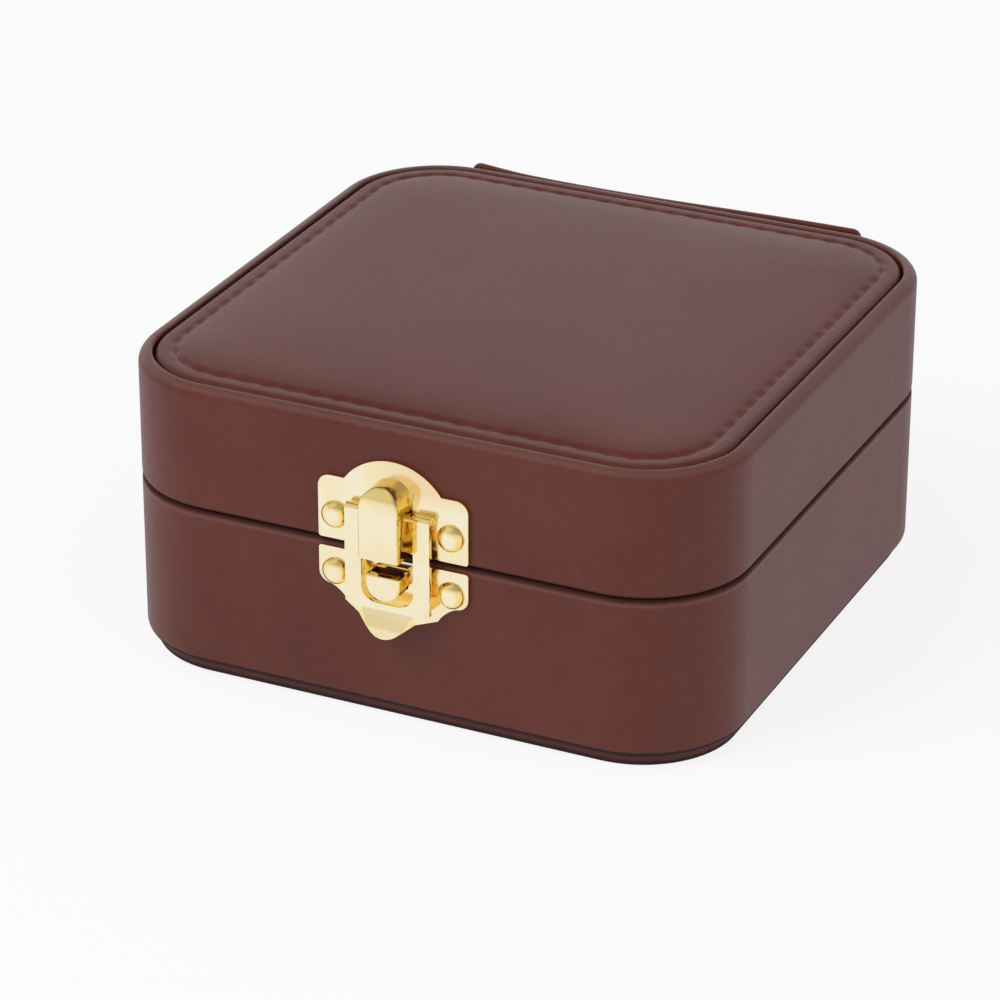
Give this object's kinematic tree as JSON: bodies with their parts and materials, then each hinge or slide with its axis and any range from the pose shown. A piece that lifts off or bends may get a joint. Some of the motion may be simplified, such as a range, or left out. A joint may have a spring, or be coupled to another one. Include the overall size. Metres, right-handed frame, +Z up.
{
  "type": "cufflink box",
  "caption": "Small square box with rounded corners, a padded stitched lid on a leather hinge, a swinging gold hasp, and soft cufflink rolls and compartments inside.",
  "frame": {"origin": "middle of the box's underside, on the surface that it stands on", "axes": "+Z up, -Y towards the latch at the front, +X to the right as seen from the front"},
  "size_m": [0.1, 0.1067, 0.05],
  "materials": {
    "brown_leatherette": "satin, fine smooth grain",
    "greyboard": "matte pressed board",
    "velvet": "short-pile velvet",
    "foam": "matte open-cell foam",
    "gold_plate": "polished gold plate"
  },
  "bodies": {
    "base": {"base_frame": "greyboard", "base_wrap": "brown_leatherette", "bottom_cover": "brown_leatherette", "floor_board": "greyboard", "floor_lining": "velvet", "base_collar": "velvet", "long_divider": "velvet", "cross_divider": "velvet", "cufflink_roll_1": "velvet", "cufflink_roll_2": "velvet", "cufflink_roll_3": "velvet", "cufflink_roll_4": "velvet", "cufflink_roll_5": "velvet", "hinge_strip_base": "brown_leatherette", "latch_lower_plate": "gold_plate", "lower_fixing_pins": "gold_plate"},
    "lid": {"lid_frame": "greyboard", "lid_wrap": "brown_leatherette", "panel_board": "greyboard", "panel_foam": "foam", "panel_cover": "brown_leatherette", "lid_pad": "velvet", "lid_lining": "velvet", "hinge_strip_lid": "brown_leatherette", "latch_upper_plate": "gold_plate", "upper_fixing_pins": "gold_plate", "hasp_hinge_pin": "gold_plate"},
    "hasp": {"hasp": "gold_plate"}
  },
  "joints": [
    {"name": "lid_hinge", "type": "hinge", "parent": "base", "child": "lid", "pos_m": [0, 0.051, 0.0285], "axis": [-1, 0, 0], "range_deg": [0, 105]},
    {"name": "hasp_swing", "type": "hinge", "parent": "lid", "child": "hasp", "pos_m": [0, -0.0517, 0.0354], "axis": [-1, 0, 0], "range_deg": [0, 140]}
  ]
}
